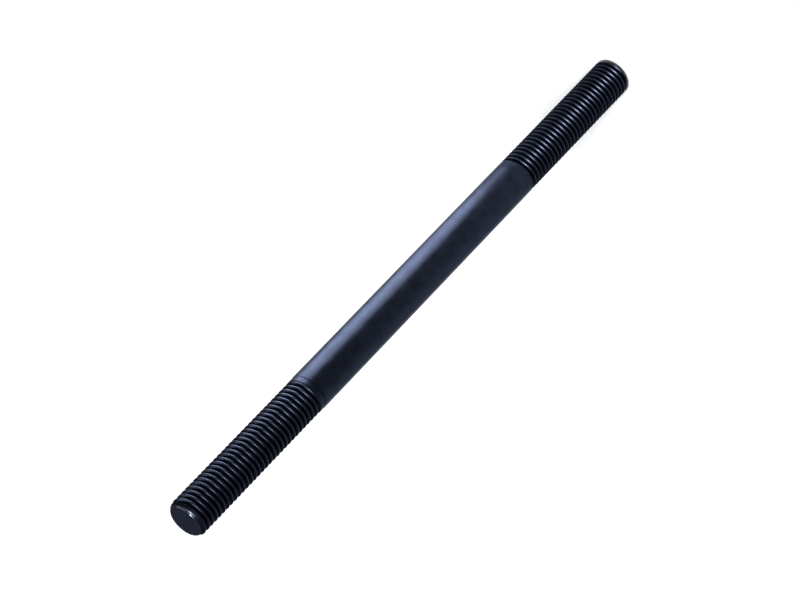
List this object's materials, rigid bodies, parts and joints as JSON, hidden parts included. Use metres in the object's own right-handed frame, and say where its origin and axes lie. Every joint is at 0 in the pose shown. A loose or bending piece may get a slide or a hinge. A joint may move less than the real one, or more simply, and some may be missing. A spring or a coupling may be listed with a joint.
{
  "type": "clamping stud",
  "caption": "Long double-end clamping stud in dark oxide steel: a plain round shank with an M18 x 2.5 right-hand thread on each chamfered end.",
  "frame": {"origin": "centre of the bottom end face", "axes": "+Z along the stud, from the bottom end to the top end"},
  "size_m": [0.018, 0.018, 0.305],
  "materials": {
    "oxide_steel": "black oxide, semi-gloss"
  },
  "bodies": {
    "root": {"stud": "oxide_steel"}
  },
  "joints": []
}
